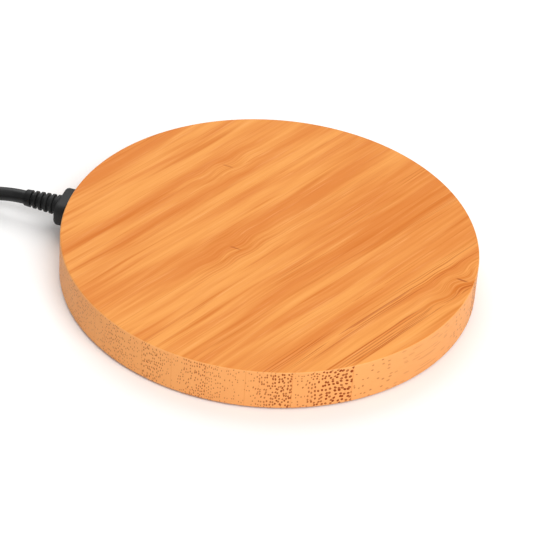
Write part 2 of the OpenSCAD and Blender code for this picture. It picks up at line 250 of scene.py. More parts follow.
def makeBamboo(plan):
    material, tree, surface = newMaterial("laminatedBamboo")
    split = add(tree, "SeparateXYZ")
    plug(tree, split.inputs[0], millimetres(tree, plan["grainTurn"]))
    along, across, height = split.outputs

    def times(first, *others):
        for other in others:
            first = calc(tree, "MULTIPLY", first, other)
        return first

    def plus(first, *others):
        for other in others:
            first = calc(tree, "ADD", first, other)
        return first

    def grainNoise(pattern, sideways, up, detail=2.0, roughness=0.5):
        scaled = [times(part, pace) for part, pace in zip((along, sideways, up), plan[pattern])]
        return noise(tree, joinVector(tree, *scaled), 1.0, detail, roughness)

    def bell(value, width):
        share = calc(tree, "DIVIDE", value, width)
        return calc(tree, "EXPONENT", times(calc(tree, "POWER", share, 2.0), -1.0))

    def stain(factor, colour, name):
        return blendColour(tree, factor, colour, plan[name])

    # slow waver of the grain, and a rise and fall that starts and ends the lines on the face
    waver = grainNoise("waver", across, height, 1.0)
    shifted = plus(across, times(plus(waver, -0.5), plan["sideways"]))
    wander = grainNoise("wander", across, height, 1.0)
    risen = plus(height, times(wander, plan["rise"]))

    # culm nodes: the fibres swirl round each one, and a short dark scar crosses the strip
    reachAlong, reachAcross = plan["knotReach"]
    scar = 0.0
    shade = 0.0
    for start, side, strength in plan["knots"]:
        fromStart = plus(along, -start)
        fromSide = plus(across, -side)
        fall = times(bell(fromStart, reachAlong), bell(fromSide, reachAcross))
        swirl = calc(tree, "SINE", times(fromStart, plan["swirlPace"]))
        shifted = plus(shifted, times(fall, swirl, strength))
        shade = plus(shade, times(fall, strength))
        line = bell(plus(fromStart, times(fromSide, 0.3)), plan["scarWidth"])
        short = ramp(tree, calc(tree, "ABSOLUTE", fromSide), *plan["scarEnds"], 1.0, 0.0)
        scar = plus(scar, times(line, short, strength))

    # strips, each with its dense side and its own tone
    strip = plus(across, plan["stripShift"] + plan["stripWidth"] * 10)
    strip = calc(tree, "DIVIDE", strip, plan["stripWidth"])
    within = calc(tree, "FRACT", strip)
    chance = add(tree, "TexWhiteNoise", noise_dimensions="1D")
    plug(tree, chance.inputs["W"], plus(calc(tree, "FLOOR", strip), plan["seed"]))
    tones = add(tree, "SeparateColor")
    plug(tree, tones.inputs[0], chance.outputs["Color"])
    flipped = calc(tree, "LESS_THAN", tones.outputs[2], plan["turnedShare"])
    fromDense = calc(tree, "ABSOLUTE", calc(tree, "SUBTRACT", within, flipped))
    dense = calc(tree, "SUBTRACT", 1.0, calc(tree, "POWER", fromDense, 2.1))
    rich = times(ramp(tree, tones.outputs[0], 0.0, 1.0, 0.35, 1.0, smooth=False),
                 ramp(tree, across, -45.0, 20.0, 1.0, 0.35))
    crowd = times(dense, rich)

    # fibre bundles: dots where the rim cuts them, lines along the face
    cells = add(tree, "TexVoronoi", feature="F1", voronoi_dimensions="2D")
    cells.inputs["Randomness"].default_value = plan["fibreScatter"]
    cells.inputs["Scale"].default_value = 1.0 / plan["fibreCell"]
    plug(tree, cells.inputs["Vector"], joinVector(tree, times(shifted, plan["fibreSqueeze"]), risen, 0.0))
    kept = add(tree, "SeparateColor")
    plug(tree, kept.inputs[0], cells.outputs["Color"])
    present = calc(tree, "LESS_THAN", kept.outputs[0], plus(times(crowd, 0.9), 0.30))
    thin, swell = plan["fibreSize"]
    thick = plus(times(crowd, swell), thin)
    bundle = ramp(tree, cells.outputs["Distance"], plus(thick, -0.08), plus(thick, 0.01), 1.0, 0.0)
    bundle = times(bundle, present, ramp(tree, kept.outputs[1], 0.0, 1.0, 0.75, 1.0),
                   plus(times(crowd, 0.55), 0.55))

    # broad soft bands, smoky streaks, fine fibres and glue joints
    bands = grainNoise("bands", shifted, height, 3.0, 0.62)
    smokes = grainNoise("smokes", shifted, risen, 1.0)
    streaks = grainNoise("streaks", shifted, risen, 3.0, 0.6)
    threads = grainNoise("threads", shifted, risen, 1.0)
    groups = grainNoise("groups", shifted, height, 1.0)
    joint = ramp(tree, calc(tree, "ABSOLUTE", plus(within, -0.5)), 0.484, 0.497, 0.0, 1.0)

    # the rim is sanded across the fibres and looks paler than the face
    normal = add(tree, "TexCoord").outputs["Normal"]
    facing = add(tree, "SeparateXYZ")
    plug(tree, facing.inputs[0], normal)
    flatness = calc(tree, "ABSOLUTE", facing.outputs["Z"])
    grainAngle = math.radians(plan["grainTurn"])
    endOn = add(tree, "VectorMath", operation="DOT_PRODUCT")
    plug(tree, endOn.inputs[0], normal)
    endOn.inputs[1].default_value = (math.cos(grainAngle), -math.sin(grainAngle), 0)
    endGrain = ramp(tree, calc(tree, "ABSOLUTE", endOn.outputs["Value"]), 0.12, 0.40, 0.25, 1.0)
    onFace = ramp(tree, flatness, 0.35, 0.9)
    edgeHighlight = times(ramp(tree, flatness, 0.15, 0.45), ramp(tree, flatness, 0.72, 0.97, 1.0, 0.0))

    # tones of the wood, from the broad ones to the fine ones
    deepness = ramp(tree, plus(bands, times(tones.outputs[1], 0.08)), 0.38, 0.70)
    colour = blendColour(tree, deepness, plan["light"], plan["deep"])
    colour = stain(ramp(tree, onFace, 0.0, 1.0, 0.85, 0.0), colour, "rim")
    fine = times(ramp(tree, streaks, 0.5, 0.8, 0.0, 0.4), ramp(tree, onFace, 0.0, 1.0, 0.3, 1.0))
    colour = stain(fine, colour, "deep")
    colour = stain(times(ramp(tree, streaks, 0.25, 0.45, 0.3, 0.0), onFace), colour, "edge")
    smoke = times(ramp(tree, smokes, 0.56, 0.82, 0.0, 0.7), onFace)
    glue = times(joint, ramp(tree, onFace, 0.0, 1.0, 0.25, 0.35))
    colour = stain(plus(smoke, glue), colour, "smoke")

    # then the fibres, the knots and a painted highlight along the eased edge
    grouped = times(ramp(tree, groups, 0.42, 0.60), rich)
    thread = times(ramp(tree, threads, 0.60, 0.72, 0.0, 0.95), grouped, onFace)
    colour = stain(thread, colour, "smoke")
    colour = stain(times(shade, onFace, ramp(tree, streaks, 0.40, 0.62, 0.0, 0.8)), colour, "smoke")
    shown = ramp(tree, onFace, 0.0, 1.0, endGrain, times(grouped, 0.65), smooth=False)
    fibreColour = blendColour(tree, onFace, plan["fibre"], plan["line"])
    colour = blendColour(tree, times(bundle, shown), colour, fibreColour)
    # painted highlight: a paler line along the eased edge of the rim
    colour = stain(times(edgeHighlight, 0.45), colour, "edge")
    colour = stain(calc(tree, "MINIMUM", scar, 0.9), colour, "fibre")
    plug(tree, surface.inputs["Base Color"], colour)
    plug(tree, surface.inputs["Roughness"], ramp(tree, streaks, 0.2, 0.8, *plan["roughness"]))
    surface.inputs["Specular IOR Level"].default_value = plan["specular"]
    relief = plus(times(streaks, 0.25), times(bundle, -0.5))
    addBump(tree, surface, relief, plan["relief"], 0.5)
    return material


def makeMoulded(name, colour, roughness, grainSize, depth, mottling=0.12, specular=0.5):
    # moulded or coated surface with an even fine texture
    material, tree, surface = newMaterial(name)
    place = millimetres(tree)
    grain = noise(tree, place, 1.0 / grainSize, 3.0, 0.6)
    cloud = noise(tree, place, 0.12, 3.0, 0.55)
    paler = tuple(min(1.0, part * (1 + mottling) + 0.01) for part in colour)
    darker = tuple(part * (1 - mottling) for part in colour)
    mottled = blendColour(tree, ramp(tree, cloud, 0.35, 0.65), darker, paler)
    plug(tree, surface.inputs["Base Color"], mottled)
    plug(tree, surface.inputs["Roughness"], ramp(tree, cloud, 0.3, 0.7, roughness - 0.05, roughness + 0.05))
    surface.inputs["Specular IOR Level"].default_value = specular
    addBump(tree, surface, grain, depth)
    return material


def makeMetal(name, colour, roughness, stretch, scale=4.0):
    # drawn or plated metal, with fine lines along one direction
    material, tree, surface = newMaterial(name)
    split = add(tree, "SeparateXYZ")
    plug(tree, split.inputs[0], millimetres(tree))
    parts = [calc(tree, "MULTIPLY", part, factor) for part, factor in zip(split.outputs, stretch)]
    lines = noise(tree, joinVector(tree, *parts), scale, 3.0, 0.6)
    cloud = noise(tree, millimetres(tree), 0.5, 3.0, 0.5)
    duller = tuple(part * 0.86 for part in colour)
    mottled = blendColour(tree, ramp(tree, cloud, 0.35, 0.65), duller, colour)
    plug(tree, surface.inputs["Base Color"], mottled)
    plug(tree, surface.inputs["Roughness"], ramp(tree, lines, 0.3, 0.7, roughness - 0.06, roughness + 0.08))
    surface.inputs["Metallic"].default_value = 1.0
    addBump(tree, surface, lines, 0.0015 * mm)
    return material


boardPlan = {
    "mask": (0.008, 0.10, 0.045),
    "track": (0.02, 0.20, 0.085),
    "plated": (0.75, 0.62, 0.32),
    "trackPitch": 0.75,             # mm
    "blockPace": 0.24,              # blocks per mm
    "relief": 0.03 * mm,
}


def makeBoard(plan):
    # solder mask over tracks, with bare plated rings
    material, tree, surface = newMaterial("solderMask")
    place = millimetres(tree)
    blocks = add(tree, "TexVoronoi", feature="F1", distance="CHEBYCHEV")
    blocks.inputs["Scale"].default_value = plan["blockPace"]
    blocks.inputs["Randomness"].default_value = 0.8
    plug(tree, blocks.inputs["Vector"], place)
    choice = add(tree, "SeparateColor")
    plug(tree, choice.inputs[0], blocks.outputs["Color"])
    split = add(tree, "SeparateXYZ")
    plug(tree, split.inputs[0], place)
    # each block of the board carries tracks one way, tracks the other way, or an unbroken plane
    isAlong = calc(tree, "LESS_THAN", choice.outputs[0], 0.45)
    isPlane = calc(tree, "GREATER_THAN", choice.outputs[1], 0.7)
    across = ramp(tree, isAlong, 0.0, 1.0, split.outputs[0], split.outputs[1], smooth=False)
    part = calc(tree, "FRACT", calc(tree, "DIVIDE", across, plan["trackPitch"]))
    fromMiddle = calc(tree, "ABSOLUTE", calc(tree, "SUBTRACT", part, 0.5))
    track = calc(tree, "MAXIMUM", ramp(tree, fromMiddle, 0.20, 0.26, 1.0, 0.0), isPlane)
    vias = add(tree, "TexVoronoi", feature="F1")
    vias.inputs["Scale"].default_value = 0.33
    plug(tree, vias.inputs["Vector"], place)
    ring = ramp(tree, vias.outputs["Distance"], 0.09, 0.11, 1.0, 0.0)
    colour = blendColour(tree, track, plan["mask"], plan["track"])
    colour = blendColour(tree, ring, colour, plan["plated"])
    plug(tree, surface.inputs["Base Color"], colour)
    plug(tree, surface.inputs["Roughness"], ramp(tree, noise(tree, place, 2.0), 0.3, 0.7, 0.25, 0.38))
    addBump(tree, surface, track, plan["relief"])
    return material


def makeStranded(name, colour):
    # enamelled strands that twist round the wire
    material, tree, surface = newMaterial(name)
    split = add(tree, "SeparateXYZ")
    plug(tree, split.inputs[0], millimetres(tree))
    x, y, z = split.outputs
    angle = calc(tree, "ARCTAN2", y, x)
    squares = calc(tree, "ADD", calc(tree, "MULTIPLY", x, x), calc(tree, "MULTIPLY", y, y))
    radius = calc(tree, "SQRT", squares)
    twist = calc(tree, "ADD", calc(tree, "MULTIPLY", angle, 60.0), calc(tree, "MULTIPLY", radius, 14.0))
    strands = calc(tree, "SINE", calc(tree, "ADD", twist, calc(tree, "MULTIPLY", z, 9.0)))
    # painted shade darkens the grooves between the strands
    plug(tree, surface.inputs["Base Color"],
         blendColour(tree, ramp(tree, strands, -0.6, 0.4), tuple(part * 0.45 for part in colour), colour))
    plug(tree, surface.inputs["Roughness"], ramp(tree, strands, -1.0, 1.0, 0.42, 0.26))
    surface.inputs["Metallic"].default_value = 1.0
    addBump(tree, surface, strands, 0.04 * mm)
    return material


def makeWoven(name, colour):
    # looped face of a hook-and-loop strap
    material, tree, surface = newMaterial(name)
    place = millimetres(tree)
    loops = add(tree, "TexVoronoi", feature="F1")
    loops.inputs["Scale"].default_value = 3.2
    plug(tree, loops.inputs["Vector"], place)
    height = ramp(tree, loops.outputs["Distance"], 0.0, 0.6, 1.0, 0.0)
    # painted shade darkens the hollows between the loops and a painted highlight lightens their tops,
    # following the loop height
    darker = tuple(part * 0.5 for part in colour)
    paler = tuple(part * 1.6 for part in colour)
    plug(tree, surface.inputs["Base Color"], blendColour(tree, height, darker, paler))
    surface.inputs["Roughness"].default_value = 0.9
    surface.inputs["Sheen Weight"].default_value = 0.15
    addBump(tree, surface, height, 0.12 * mm)
    return material


def makeClear(name):
    # clear moulded rod, faintly frosted in patches all over
    material, tree, surface = newMaterial(name)
    frost = noise(tree, millimetres(tree), 3.0)
    plug(tree, surface.inputs["Roughness"], ramp(tree, frost, 0.3, 0.7, 0.12, 0.3))
    surface.inputs["Base Color"].default_value = (0.86, 0.9, 0.92, 1)
    surface.inputs["Transmission Weight"].default_value = 0.75
    surface.inputs["IOR"].default_value = 1.49
    return material


bamboo = makeBamboo(bambooPlan)
maskGreen = makeBoard(boardPlan)

# colour, roughness, grain in mm, depth of the grain
plateBlack = makeMoulded("sparkTexturedPlastic", (0.014, 0.014, 0.015), 0.55, 0.22, 0.03 * mm, 0.05)
footRubber = makeMoulded("footRubber", (0.07, 0.07, 0.072), 0.85, 0.35, 0.04 * mm, 0.06, specular=0.2)
ferriteGrey = makeMoulded("sinteredFerrite", (0.055, 0.055, 0.06), 0.42, 0.3, 0.02 * mm, 0.25)
tapeWhite = makeMoulded("tapeTissue", (0.72, 0.70, 0.62), 0.7, 0.5, 0.01 * mm)
foamGrey = makeMoulded("closedCellFoam", (0.05, 0.05, 0.055), 0.9, 0.25, 0.12 * mm, 0.3)
beadBrown = makeMoulded("sensorLacquer", (0.16, 0.05, 0.02), 0.22, 0.6, 0.01 * mm)
nylonBlack = makeMoulded("blackNylon", (0.018, 0.018, 0.018), 0.45, 0.3, 0.01 * mm)
nylonWhite = makeMoulded("whiteNylon", (0.74, 0.74, 0.72), 0.45, 0.3, 0.01 * mm)
chipEpoxy = makeMoulded("chipEpoxy", (0.02, 0.02, 0.022), 0.5, 0.18, 0.01 * mm, 0.2)
inductorIron = makeMoulded("pressedIron", (0.075, 0.075, 0.08), 0.6, 0.2, 0.03 * mm, 0.25)
capacitorTan = makeMoulded("firedCeramic", (0.42, 0.26, 0.13), 0.45, 0.4, 0.01 * mm, 0.15)
resistorBlack = makeMoulded("resistorGlaze", (0.02, 0.02, 0.022), 0.35, 0.3, 0.01 * mm, 0.2)
ledResin = makeMoulded("ledResin", (0.75, 0.78, 0.72), 0.35, 0.5, 0.005 * mm)
plugBlack = makeMoulded("softPlugBlack", (0.004, 0.004, 0.004), 0.5, 0.16, 0.02 * mm, specular=0.3)
sheathBlack = makeMoulded("cableSheath", (0.005, 0.005, 0.005), 0.42, 0.8, 0.02 * mm, specular=0.35)

# colour, roughness, how the lines are stretched along X, Y and Z
screwZinc = makeMetal("zincPlate", (0.62, 0.62, 0.64), 0.34, (1, 1, 1))
shellNickel = makeMetal("drawnNickel", (0.66, 0.66, 0.68), 0.26, (3, 0.12, 3))
contactGold = makeMetal("goldFlash", (0.86, 0.62, 0.22), 0.22, (3, 0.12, 3))
solderTin = makeMetal("solderTin", (0.7, 0.71, 0.72), 0.25, (1, 1, 1), 1.5)

copperWire = makeStranded("strandedCopper", (0.78, 0.36, 0.16))
guideClear = makeClear("clearGuide")
strapBlack = makeWoven("strapLoops", (0.012, 0.012, 0.013))
print("materials made")


# the supply lead: out of the plug, down to the surface, round the coil and off to the far plug

cordPlan = {
    "diameter": 3.5 * mm,
    "run": [(0, 62.4, 5.7), (0, 66, 5.5), (0, 71, 4.6), (0, 77, 3.2), (0, 84, 2.2), (0, 90, 2.25)],
    "tail": [(-28, 119.2, 5.8), (-38, 118.8, 3.6), (-46, 117.6, 2), (-53, 114, 1.8), (-58, 108, 2),
             (-60.5, 101, 3), (-61, 95, 3.9)],
    "coilMiddle": (-25, 94),
    "outerTurn": 25.25,
    "innerTurn": 14.75,
    "floorTurn": 2.35,
    "pointsPerTurn": 24,
    "jog": (305, 350),      # degrees where each turn steps to the next
    "climb": (215, 300),    # degrees where the inner turn climbs onto the others
    "turnsBelow": 4,
    "endTurn": 7,
    "endAngle": 84,
    "sway": 0.12,           # the same in every turn, so they stay side by side
}


def coilPoint(plan, angle):
    # radius and height of the winding after turning by angle degrees
    pitch = plan["diameter"] / mm
    turn, part = divmod(angle, 360)
    turn = int(turn)
    below = plan["turnsBelow"]

    def easeIn(start, end):
        share = min(1, max(0, (part - start) / (end - start)))
        return share * share * (3 - 2 * share)

    step = easeIn(*plan["jog"])
    if turn < below - 1:
        radius = plan["outerTurn"] - pitch * (turn + step)
        height = plan["floorTurn"]
    elif turn == below - 1:
        radius = plan["innerTurn"]
        height = plan["floorTurn"] + pitch * easeIn(*plan["climb"])
    else:
        radius = plan["innerTurn"] + pitch * (turn - below + step)
        height = plan["floorTurn"] + pitch
    radius = min(radius, plan["outerTurn"])
    middleX, middleY = plan["coilMiddle"]
    around = math.radians(angle)
    radius += plan["sway"] * math.sin(2 * around + 1)
    height += plan["sway"] / 2 * math.sin(3 * around)
    return middleX + radius * math.cos(around), middleY + radius * math.sin(around), height


def smoothRoute(points, steps):
    # passes through every point, with even bends between them
    route = []
    for index in range(len(points) - 1):
        before = Vector(points[max(index - 1, 0)])
        start = Vector(points[index])
        end = Vector(points[index + 1])
        after = Vector(points[min(index + 2, len(points) - 1)])
        pull = 2 * before - 5 * start + 4 * end - after
        turn = 3 * start - before - 3 * end + after
        for step in range(steps):
            t = step / steps
            route.append(0.5 * (2 * start + (end - before) * t + pull * t * t + turn * t ** 3))
    route.append(Vector(points[-1]))
    return route


def makeCord(plan):
    last = 360 * plan["endTurn"] + plan["endAngle"]
    count = round(last / 360 * plan["pointsPerTurn"])
    winding = [coilPoint(plan, last * index / count) for index in range(count + 1)]
    points = smoothRoute(plan["run"] + winding + plan["tail"], 3)
    points = [point * mm for point in points]
    length = sum((b - a).length for a, b in zip(points, points[1:]))
    curve = newWire("supply_lead", plan["diameter"], 3)
    addRoute(curve, points)
    return curve, length, points[0]


leadCurve, leadLength, leadExit = makeCord(cordPlan)
leadCord = addPiece("supply_lead", leadCurve, sheathBlack, "lead", "cable_black",
                    "cable_run", "cable_coil", "cable_tail")
print("cord laid,", round(leadLength, 3), "m")


# plug bodies and strain reliefs

def ringOf(bm, width, height, radius, place):
    # one rounded outline in the XZ plane
    made = bmesh.ops.create_grid(bm, x_segments=1, y_segments=1, size=0.5)
    verts = made["verts"]
    bmesh.ops.scale(bm, vec=(width, height, 1), verts=verts)
    bmesh.ops.bevel(bm, geom=verts, offset=radius, segments=6, profile=0.5, affect="VERTICES", material=-1)
    bmesh.ops.rotate(bm, cent=(0, 0, 0), matrix=Matrix.Rotation(math.radians(90), 3, "X"), verts=bm.verts)
    bmesh.ops.translate(bm, vec=place, verts=bm.verts)
    return bm.faces[:]


def loftBody(name, size, radius, place, stations):
    # a rounded outline drawn along Y; each station is (distance, inset)
    width, height = size
    bm = bmesh.new()
    faces = ringOf(bm, width - 2 * stations[0][1], height - 2 * stations[0][1], radius, place)
    travelled, inset = stations[0]
    middle = Vector(place)
    for distance, newInset in stations[1:]:
        out = bmesh.ops.extrude_face_region(bm, geom=faces)
        verts = [item for item in out["geom"] if isinstance(item, bmesh.types.BMVert)]
        newFaces = [item for item in out["geom"] if isinstance(item, bmesh.types.BMFace)]
        if travelled != stations[0][0]:
            bmesh.ops.delete(bm, geom=faces, context="FACES_ONLY")
        shift = distance - travelled
        bmesh.ops.translate(bm, vec=(0, shift, 0), verts=verts)
        middle.y += shift
        wider = (width - 2 * newInset) / (width - 2 * inset)
        taller = (height - 2 * newInset) / (height - 2 * inset)
        grow = (wider, 1, taller)
        bmesh.ops.scale(bm, vec=grow, space=Matrix.Translation(-middle), verts=verts)
        travelled, inset = distance, newInset
        faces = newFaces
    return meshFrom(bm, name, 40)


def turned(name, profile, base):
    # spins (distance, radius) points round the Y axis through base
    bm = bmesh.new()
    verts = [bm.verts.new((radius, distance, 0)) for distance, radius in profile]
    edges = [bm.edges.new(pair) for pair in zip(verts, verts[1:])]
    bmesh.ops.spin(bm, geom=verts + edges, cent=(0, 0, 0), axis=(0, 1, 0), angle=math.radians(360),
                   steps=40, use_merge=True)
    bmesh.ops.translate(bm, vec=base, verts=bm.verts)
    return meshFrom(bm, name, 50)


reliefPlan = {
    "grooves": 5,
    "cut": 0.55 * mm,
    "groove": 0.75 * mm,
    "slope": 0.12 * mm,
    "start": 0.08,          # share of the sleeve before the first groove
    "grooved": 0.8,         # share of it that is grooved
    "endEase": (0.25 * mm, 0.2 * mm),
    "endRadius": 2.05 * mm,
}


def reliefProfile(plan, length, startRadius):
    # tapered sleeve with flexing grooves
    endRadius = plan["endRadius"]
    points = [(0, 0), (0, startRadius)]
    pitch = length * plan["grooved"] / plan["grooves"]
    slope = plan["slope"]
    cut = plan["cut"]
    for index in range(plan["grooves"]):
        start = length * plan["start"] + pitch * index
        for along, depth in ((0, 0), (slope, cut), (plan["groove"], cut), (plan["groove"] + slope, 0)):
            place = start + along
            points.append((place, startRadius + (endRadius - startRadius) * place / length - depth))
    back, down = plan["endEase"]
    points.append((length - back, endRadius))
    points.append((length, endRadius - down))
    points.append((length, 0))
    return points


def addRelief(name, node, startRadius):
    low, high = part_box(node)
    profile = reliefProfile(reliefPlan, high.y - low.y, startRadius)
    base = ((low.x + high.x) / 2, low.y, (low.z + high.z) / 2)
    return addPiece(name, turned(name, profile, base), plugBlack, "lead", "plug_black", node)


# each body's ends and grooves as (mm along, mm inset)
plugPlan = {
    "nose": ((0, 0.35), (0.25, 0.08), (0.6, 0)),
    "tail": ((9.6, 0), (10.1, 0.12), (10.4, 0.4), (10.5, 0.8)),
    "grooves": 5,
    "firstGroove": 2.2,
    "groovePitch": 1.25,
    "grooveWidth": 0.65,
    "grooveDepth": 0.2,
    "grooveSlope": 0.15,
    "corner": 2 * mm,
}
supplyPlan = {
    "nose": ((0, 0.6), (0.2, 0.2), (0.6, 0)),
    "tail": ((18.6, 0), (19.4, 0.25), (19.8, 0.7), (20, 1.3)),
    "grooves": 6,
    "firstGroove": 8.5,
    "groovePitch": 1.4,
    "grooveWidth": 0.7,
    "grooveDepth": 0.25,
    "grooveSlope": 0.15,
    "corner": 1.8 * mm,
}


def gripStations(plan):
    stations = list(plan["nose"])
    depth = plan["grooveDepth"]
    for index in range(plan["grooves"]):
        start = plan["firstGroove"] + index * plan["groovePitch"]
        end = start + plan["grooveWidth"]
        slope = plan["grooveSlope"]
        stations += [(start, 0), (start + slope, depth), (end - slope, depth), (end, 0)]
    stations += plan["tail"]
    return [(along * mm, inset * mm) for along, inset in stations]


def addGrip(name, node, plan):
    low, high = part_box(node)
    place = ((low.x + high.x) / 2, low.y, (low.z + high.z) / 2)
    mesh = loftBody(name, (high.x - low.x, high.z - low.z), plan["corner"], place, gripStations(plan))
    return addPiece(name, mesh, plugBlack, "lead", "plug_black", node)


leadPlugBody = addGrip("lead_plug_body", "plug_body", plugPlan)
leadRelief = addRelief("lead_relief", "plug_strain_relief", 2.6 * mm)
supplyGrip = addGrip("supply_plug_grip", "supply_plug_body", supplyPlan)
supplyRelief = addRelief("supply_relief", "supply_strain_relief", 2.7 * mm)
print("plugs made")


# hook-and-loop straps that hold the stored coil, each wound once round the turns it crosses

strapPlan = {
    "angles": (60, 240),
    "width": 8 * mm,
    "thickness": 0.55 * mm,
    "gap": 0.04 * mm,
    "overlap": 9 * mm,
    "step": 0.45 * mm,
    "liftRun": 2 * mm,      # over which the free end rises onto the turn below
    "liftAhead": 2.4 * mm,  # where that rise starts, before the turn is closed
    "endCorner": 1.6 * mm,
    "easedEdge": 0.12 * mm,
}


def turnsCrossed(cord, angle):
    # radius and height of every turn where it passes the angle, in metres
    last = 360 * cord["endTurn"] + cord["endAngle"]
    middle = Vector(cord["coilMiddle"])
    spots = []
    for total in range(angle, last, 360):
        x, y, height = coilPoint(cord, total)
        spots.append(((Vector((x, y)) - middle).length * mm, height * mm))
    return spots


def strapOutline(plan, cord, angle):
    # the tightest loop round the turns, over the whole width of the strap
    reach = cord["diameter"] / 2 + plan["gap"]
    points = []
    for radius, height in turnsCrossed(cord, angle):
        for side in (0, plan["width"] / 2):
            near = math.sqrt(radius ** 2 - side ** 2)
            for part in range(32):
                around = 2 * math.pi * part / 32
                points.append(Vector((near + reach * math.cos(around), height + reach * math.sin(around))))
    loop = [points[index] for index in convex_hull_2d(points)]
    top = max(range(len(loop)), key=lambda index: loop[index].y * 1000 + loop[index].x)
    return loop[top:] + loop[:top]


def makeStrap(plan, cord, angle):
    loop = strapOutline(plan, cord, angle)
    sides = list(zip(loop, loop[1:] + loop[:1]))
    lengths = [(end - start).length for start, end in sides]
    around = sum(lengths)
    middle = sum(loop, Vector((0, 0))) / len(loop)
    count = round((around + plan["overlap"]) / plan["step"])
    bm = bmesh.new()
    previous = None
    for index in range(count + 1):
        travelled = (around + plan["overlap"]) * index / count
        left = travelled % around
        for (start, end), length in zip(sides, lengths):
            if left <= length:
                break
            left -= length
        outward = Vector((end.y - start.y, start.x - end.x)).normalized()
        if outward.dot(start - middle) < 0:
            outward.negate()
        lift = min(1, max(0, (travelled - around + plan["liftAhead"]) / plan["liftRun"]))
        lift = lift * lift * (3 - 2 * lift) * (plan["thickness"] + plan["gap"])
        spot = start.lerp(end, left / length) + outward * lift
        # the free end has rounded corners
        fromEnd = max(0, travelled - (around + plan["overlap"] - plan["endCorner"]))
        narrowing = plan["endCorner"] - math.sqrt(plan["endCorner"] ** 2 - fromEnd ** 2 * 0.98)
        vert = bm.verts.new((spot.x, -plan["width"] / 2 + narrowing, spot.y))
        if previous:
            bm.edges.new((previous, vert))
        previous = vert
    out = bmesh.ops.extrude_edge_only(bm, edges=bm.edges[:])
    for vert in out["geom"]:
        if isinstance(vert, bmesh.types.BMVert):
            vert.co.y = -vert.co.y
    bm.faces.ensure_lookup_table()
    if bm.faces[0].normal.z < 0:
        bmesh.ops.reverse_faces(bm, faces=bm.faces)
    turn = Matrix.Rotation(math.radians(angle), 4, "Z")
    shift = Matrix.Translation((cord["coilMiddle"][0] * mm, cord["coilMiddle"][1] * mm, 0))
    bmesh.ops.transform(bm, matrix=shift @ turn, verts=bm.verts)
    return bm


def makeStraps(plan, cord):
    mesh = bpy.data.meshes.new("coil_straps")
    joined = bmesh.new()
    for angle in plan["angles"]:
        bm = makeStrap(plan, cord, angle)
        bm.to_mesh(mesh)
        bm.free()
        joined.from_mesh(mesh)
    for face in joined.faces:
        face.smooth = True
    joined.to_mesh(mesh)
    joined.free()
    return mesh


strapMesh = makeStraps(strapPlan, cordPlan)
coilStraps = addPiece("coil_straps", strapMesh, strapBlack, "lead", "strap_black", "cable_ties")
thicken = coilStraps.modifiers.new("thickness", "SOLIDIFY")
thicken.thickness = strapPlan["thickness"]
thicken.offset = 1
thicken.use_even_offset = True
ease = coilStraps.modifiers.new("easedEdges", "BEVEL")
ease.width = strapPlan["easedEdge"]
ease.segments = 2
ease.limit_method = "ANGLE"
ease.angle_limit = math.radians(40)
print("straps wound")


# the charging coil, one wire wound flat

windingPlan = {
    "first": 10.8 * mm,
    "pitch": 1.12 * mm,
    "wire": 1.05 * mm,
    "from": -103.4,         # degrees, beside the inner lead
    "to": 3157.0,           # and the outer lead, nine turns on
    "points": 72,           # in each turn
}


def makeWinding(plan):
    low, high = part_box("charging_coil")
    level = (low.z + high.z) / 2
    swept = plan["to"] - plan["from"]
    count = round(swept / 360 * plan["points"])
    points = []
    for index in range(count + 1):
        radius = plan["first"] + plan["pitch"] * swept / 360 * index / count
        angle = math.radians(plan["from"] + swept * index / count)
        points.append((radius * math.cos(angle), radius * math.sin(angle), level))
    curve = newWire("spiral_winding", plan["wire"], 2)
    addRoute(curve, points)
    return curve


addPiece("spiral_winding", makeWinding(windingPlan), copperWire, "pad", "copper_wire", "charging_coil")
print("winding made")


# parts on the circuit board, each built inside the box of its CAD solid

partsPlan = {
    "ease": 0.06 * mm,          # rounded edges of the moulded packages
    "metalEase": 0.03 * mm,
    "leadEase": 0.02 * mm,
    "leadPitch": 0.65 * mm,
    "leadSize": (0.28 * mm, 0.30 * mm, 0.12 * mm),   # across, into the body, thick
    "leadOut": 0.08 * mm,
    "markPlace": 0.6 * mm,      # from the corner of the package
    "markSize": 0.4 * mm,
    "capShare": 0.22,           # tinned part of a ceramic, at each end
    "capProud": 0.03 * mm,
    "terminalSize": (0.2 * mm, 1.1 * mm, 1.3 * mm),  # thick, under the inductor, up its side
    "terminalFromSide": 1.5 * mm,
    "inductorEase": 0.45 * mm,
    "lampEnd": 0.35 * mm,
    "lampLens": 0.4 * mm,
    "lampEase": (0.05 * mm, 0.28 * mm, 0.04 * mm),   # housing, lens, tinned ends
    "lensFrom": (0.5 * mm, 0.15 * mm),               # the ends, the top and the board
    "foamEase": 0.35 * mm,
}


def looseBoxes(node):
    # lowest and highest corner of every separate solid in a CAD node
    bm = bmesh.new()
    bm.from_mesh(nodes[node].data)
    bmesh.ops.remove_doubles(bm, verts=bm.verts, dist=1e-7)
    boxes = []
    for vert in bm.verts:
        if vert.tag:
            continue
        vert.tag = True
        part = [vert]
        for member in part:
            for edge in member.link_edges:
                other = edge.other_vert(member)
                if not other.tag:
                    other.tag = True
                    part.append(other)
        corners = list(zip(*(member.co for member in part)))
        boxes.append((Vector([min(line) for line in corners]), Vector([max(line) for line in corners])))
    bm.free()
    return boxes


def block(bm, low, high, ease, slot=0, segments=2):
    # a box with rounded edges, in the given material slot
    earlier = set(bm.faces)
    verts = bmesh.ops.create_cube(bm, size=1)["verts"]
    bmesh.ops.scale(bm, vec=high - low, verts=verts)
    bmesh.ops.translate(bm, vec=(low + high) / 2, verts=verts)
    edges = list(dict.fromkeys(edge for vert in verts for edge in vert.link_edges))
    bmesh.ops.bevel(bm, geom=edges, offset=ease, segments=segments, profile=0.5, affect="EDGES",
                    material=-1)
    for face in bm.faces:
        if face not in earlier:
            face.material_index = slot


